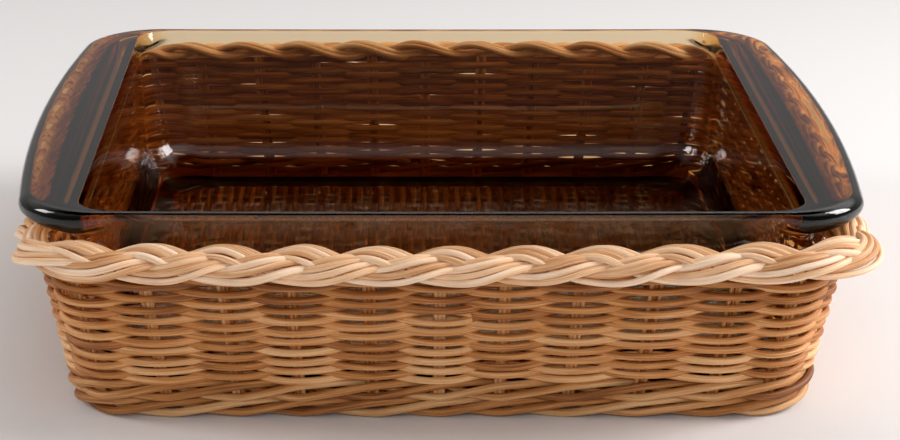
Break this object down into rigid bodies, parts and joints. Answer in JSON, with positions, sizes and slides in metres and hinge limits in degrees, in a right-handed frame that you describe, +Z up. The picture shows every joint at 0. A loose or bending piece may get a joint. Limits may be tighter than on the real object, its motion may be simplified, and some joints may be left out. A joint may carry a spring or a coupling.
{
  "type": "casserole carrier basket",
  "caption": "Square woven reed basket with a plaited border that carries a lift-out amber glass baking dish.",
  "frame": {"origin": "centre of the basket's footprint, on the surface it stands on", "axes": "+Z up, +X across the dish from its left lug to its right lug, -Y the front"},
  "size_m": [0.2488, 0.2454, 0.062],
  "materials": {
    "reed": "natural unvarnished round reed",
    "border_reed": "natural unvarnished round reed",
    "amber_glass": "pressed and fire polished"
  },
  "bodies": {
    "basket": {"cross_stake_01": "reed", "cross_stake_02": "reed", "cross_stake_03": "reed", "cross_stake_04": "reed", "cross_stake_05": "reed", "cross_stake_06": "reed", "cross_stake_07": "reed", "cross_stake_08": "reed", "cross_stake_09": "reed", "cross_stake_10": "reed", "long_stake_01": "reed", "long_stake_02": "reed", "long_stake_03": "reed", "long_stake_04": "reed", "long_stake_05": "reed", "long_stake_06": "reed", "long_stake_07": "reed", "long_stake_08": "reed", "long_stake_09": "reed", "long_stake_10": "reed", "long_stake_11": "reed", "base_weaver_01": "reed", "base_weaver_02": "reed", "base_weaver_03": "reed", "base_weaver_04": "reed", "base_weaver_05": "reed", "base_weaver_06": "reed", "base_weaver_07": "reed", "base_weaver_08": "reed", "base_weaver_09": "reed", "base_weaver_10": "reed", "edge_weaver_left": "reed", "edge_weaver_right": "reed", "wale_round_1_reed_1": "reed", "wale_round_1_reed_2": "reed", "wale_round_1_reed_3": "reed", "wale_round_2_reed_1": "reed", "wale_round_2_reed_2": "reed", "wale_round_2_reed_3": "reed", "side_weaver_a1": "reed", "side_weaver_b1": "reed", "side_weaver_a2": "reed", "side_weaver_b2": "reed", "side_weaver_a3": "reed", "side_weaver_b3": "reed", "border_strand_1": "border_reed", "border_strand_2": "border_reed", "border_strand_3": "border_reed"},
    "dish": {"glass_dish": "amber_glass"}
  },
  "joints": [
    {"name": "dish_lift", "type": "slide", "parent": "basket", "child": "dish", "axis": [0, 0, 1], "range_m": [0, 0.075]}
  ]
}
